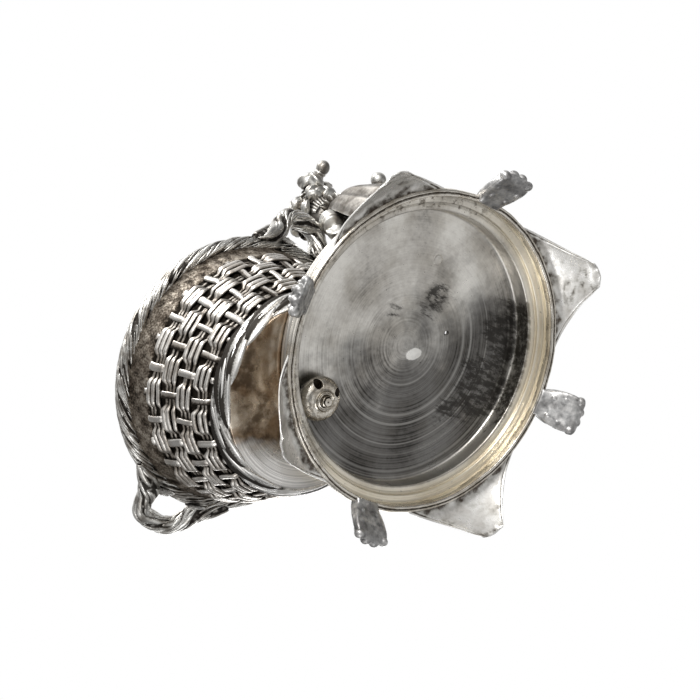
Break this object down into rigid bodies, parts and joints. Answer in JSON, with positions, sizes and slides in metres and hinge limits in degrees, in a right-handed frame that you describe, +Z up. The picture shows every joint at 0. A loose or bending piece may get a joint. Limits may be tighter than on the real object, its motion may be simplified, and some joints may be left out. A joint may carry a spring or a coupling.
{
  "type": "figural salt cellar",
  "caption": "Silver open salt: a woven basket bolted to a round hollow plinth on paw feet, beside a standing cloaked figure.",
  "frame": {"origin": "centre of the cellar's outer box, on the table that it stands on", "axes": "+Z up; +X and +Y run from the plinth axis to the middles of two of its sides, so that a paw foot lies on each of them; the basket stands towards -X +Y and the figure towards -Y"},
  "size_m": [0.0864, 0.0978, 0.0699],
  "materials": {
    "plinth_silver": "spun sheet, turned lines, grey and straw tarnish",
    "leaf_silver": "bent sheet, pale, tarnish spots",
    "cast_silver": "cast and chased, dark in the recesses",
    "bowl_silver": "spun and polished, brown tarnish",
    "weave_silver": "cast wicker, black in the recesses",
    "fixing_silver": "turned and filed",
    "figure_silver": "cast and chased, soft polish"
  },
  "bodies": {
    "plinth": {"foot_ring": "plinth_silver", "plinth_drum": "plinth_silver", "corner_leaf_1": "leaf_silver", "corner_leaf_2": "leaf_silver", "corner_leaf_3": "leaf_silver", "corner_leaf_4": "leaf_silver", "paw_foot_1": "cast_silver", "paw_foot_2": "cast_silver", "paw_foot_3": "cast_silver", "paw_foot_4": "cast_silver", "figure_peg": "fixing_silver", "figure_gown": "figure_silver", "figure_bodice": "figure_silver", "figure_cloak": "figure_silver", "figure_collar": "figure_silver", "figure_head": "figure_silver", "figure_hair": "figure_silver", "figure_arm_1": "figure_silver", "figure_arm_2": "figure_silver", "cloak_ball": "figure_silver"},
    "basket": {"salt_bowl": "bowl_silver", "woven_wall": "weave_silver", "rim_rope": "cast_silver", "foot_rope": "cast_silver", "handle_1": "cast_silver", "handle_2": "cast_silver", "handle_leaf_1": "cast_silver", "handle_leaf_2": "cast_silver", "handle_leaf_3": "cast_silver", "handle_leaf_4": "cast_silver", "basket_stud": "fixing_silver"},
    "shim_washers": {"shim_washer_1": "fixing_silver", "shim_washer_2": "fixing_silver", "shim_washer_3": "fixing_silver"},
    "fixing_nut": {"dome_nut": "fixing_silver"}
  },
  "joints": [
    {"name": "basket_lift", "type": "slide", "parent": "plinth", "child": "basket", "axis": [0, 0, 1], "range_m": [0, 0.03]},
    {"name": "nut_travel", "type": "slide", "parent": "plinth", "child": "shim_washers", "axis": [0, 0, -1], "range_m": [0, 0.0035]},
    {"name": "nut_spin", "type": "hinge", "parent": "shim_washers", "child": "fixing_nut", "pos_m": [-0.01482, 0.00914, 0.0117], "axis": [0, 0, -1], "range_deg": [0, 1800]}
  ],
  "couplings": [
    {"joint": "nut_spin", "follows": "nut_travel", "rad_per_m": 8976}
  ]
}
